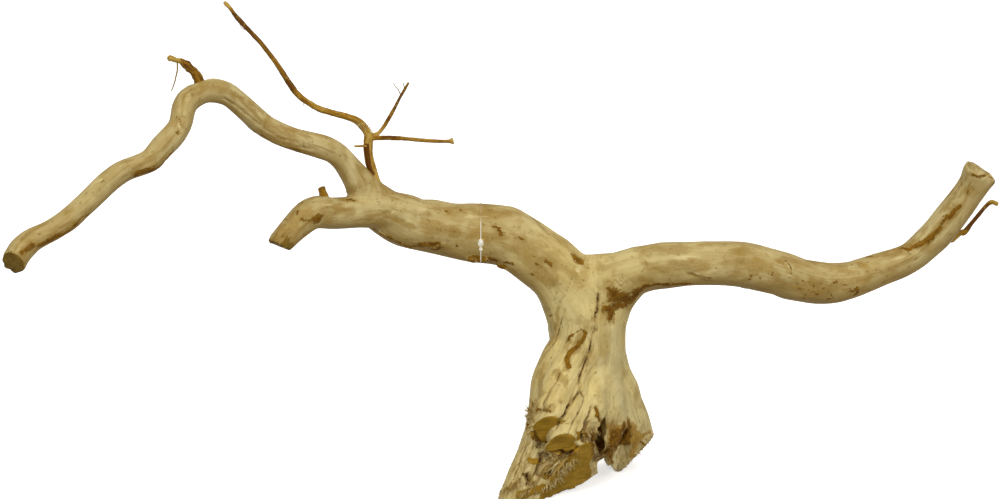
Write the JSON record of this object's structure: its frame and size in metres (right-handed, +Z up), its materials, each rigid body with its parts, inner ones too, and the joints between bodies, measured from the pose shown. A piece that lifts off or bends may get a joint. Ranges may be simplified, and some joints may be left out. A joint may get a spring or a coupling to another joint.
{
  "type": "piece of driftwood",
  "caption": "Peeled root driftwood that stands on its sawn root flare, with two long bent arms, a stub, thin twigs and a bare plastic loop.",
  "frame": {"origin": "on the flat underside of the root flare, near the middle of the ground that the roots stand on", "axes": "+X to the right along the right arm, +Y to the back, +Z up from the underside"},
  "size_m": [0.736, 0.235, 0.3605],
  "materials": {
    "peeled_wood": "peeled, smooth and matt, with bark remnants and sawn ends",
    "clear_nylon": "clear, slightly cloudy"
  },
  "bodies": {
    "root": {"driftwood": "peeled_wood", "tag_loop": "clear_nylon"}
  },
  "joints": []
}
